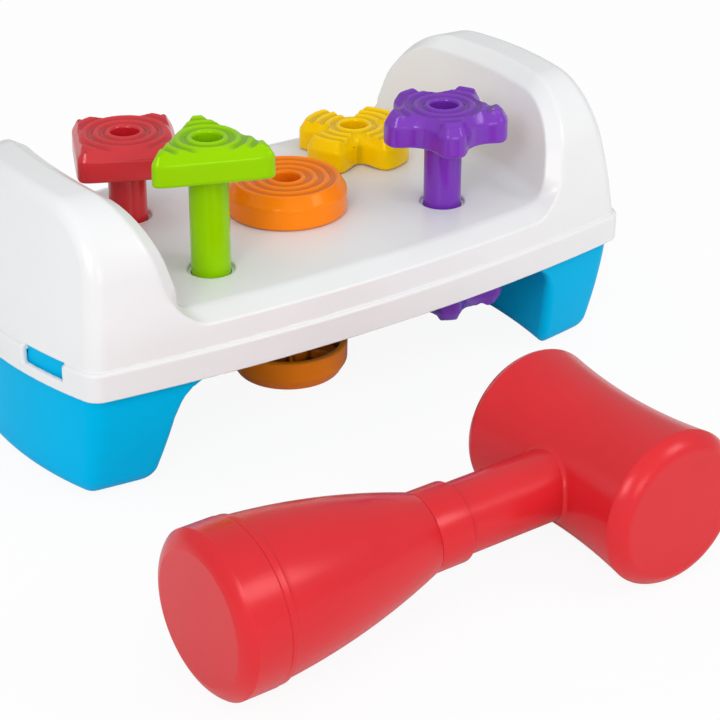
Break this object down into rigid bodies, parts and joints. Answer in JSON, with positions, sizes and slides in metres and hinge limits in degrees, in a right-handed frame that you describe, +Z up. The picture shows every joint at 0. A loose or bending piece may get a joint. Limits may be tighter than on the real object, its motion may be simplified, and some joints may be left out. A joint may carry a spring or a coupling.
{
  "type": "peg pounding bench",
  "caption": "Moulded plastic pounding bench with raised ends and hollow legs, shaped double-ended pegs that slide and turn through its deck, and a loose mallet.",
  "frame": {"origin": "middle of the bench in plan, on the floor that the feet stand on", "axes": "+X along the bench, +Y to the back, away from the mallet, +Z up"},
  "size_m": [0.352, 0.3513, 0.1533],
  "materials": {
    "shell_white": "satin gloss moulding",
    "shell_blue": "satin gloss moulding",
    "ring_grey": "matt",
    "peg_green": "satin gloss moulding",
    "peg_purple": "satin gloss moulding",
    "peg_red": "satin gloss moulding",
    "peg_yellow": "satin gloss moulding",
    "peg_orange": "satin gloss moulding",
    "mallet_red": "satin gloss moulding"
  },
  "bodies": {
    "bench": {"upper_shell": "shell_white", "lower_shell": "shell_blue"},
    "triangle_grip": {"ring_triangle": "ring_grey"},
    "triangle_peg": {"stem_triangle": "peg_green", "top_head_triangle": "peg_green", "bottom_head_triangle": "peg_green"},
    "star_grip": {"ring_star": "ring_grey"},
    "star_peg": {"stem_star": "peg_purple", "top_head_star": "peg_purple", "bottom_head_star": "peg_purple"},
    "square_grip": {"ring_square": "ring_grey"},
    "square_peg": {"stem_square": "peg_red", "top_head_square": "peg_red", "bottom_head_square": "peg_red"},
    "cross_grip": {"ring_cross": "ring_grey"},
    "cross_peg": {"stem_cross": "peg_yellow", "top_head_cross": "peg_yellow", "bottom_head_cross": "peg_yellow"},
    "disc_grip": {"ring_disc": "ring_grey"},
    "disc_peg": {"stem_disc": "peg_orange", "top_head_disc": "peg_orange", "bottom_head_disc": "peg_orange"},
    "mallet": {"mallet_head": "mallet_red", "mallet_handle": "mallet_red", "mallet_cap": "mallet_red"}
  },
  "joints": [
    {"name": "triangle_turn", "type": "hinge", "parent": "bench", "child": "triangle_grip", "pos_m": [-0.0675, -0.03725, 0.088], "axis": [0, 0, 1], "continuous": true},
    {"name": "triangle_slide", "type": "slide", "parent": "triangle_grip", "child": "triangle_peg", "axis": [0, 0, 1], "range_m": [-0.0486, 0]},
    {"name": "star_turn", "type": "hinge", "parent": "bench", "child": "star_grip", "pos_m": [0.0675, -0.03725, 0.088], "axis": [0, 0, 1], "continuous": true},
    {"name": "star_slide", "type": "slide", "parent": "star_grip", "child": "star_peg", "axis": [0, 0, 1], "range_m": [-0.03402, 0.01458]},
    {"name": "square_turn", "type": "hinge", "parent": "bench", "child": "square_grip", "pos_m": [-0.0675, 0.03725, 0.088], "axis": [0, 0, 1], "continuous": true},
    {"name": "square_slide", "type": "slide", "parent": "square_grip", "child": "square_peg", "axis": [0, 0, 1], "range_m": [-0.02722, 0.02138]},
    {"name": "cross_turn", "type": "hinge", "parent": "bench", "child": "cross_grip", "pos_m": [0.0675, 0.03725, 0.088], "axis": [0, 0, 1], "continuous": true},
    {"name": "cross_slide", "type": "slide", "parent": "cross_grip", "child": "cross_peg", "axis": [0, 0, 1], "range_m": [0, 0.0486]},
    {"name": "disc_turn", "type": "hinge", "parent": "bench", "child": "disc_grip", "pos_m": [0, 0, 0.088], "axis": [0, 0, 1], "continuous": true},
    {"name": "disc_slide", "type": "slide", "parent": "disc_grip", "child": "disc_peg", "axis": [0, 0, 1], "range_m": [0, 0.0486]},
    {"name": "mallet_lift", "type": "slide", "parent": "bench", "child": "mallet", "axis": [0, 0, 1], "range_m": [0, 0.12]}
  ]
}
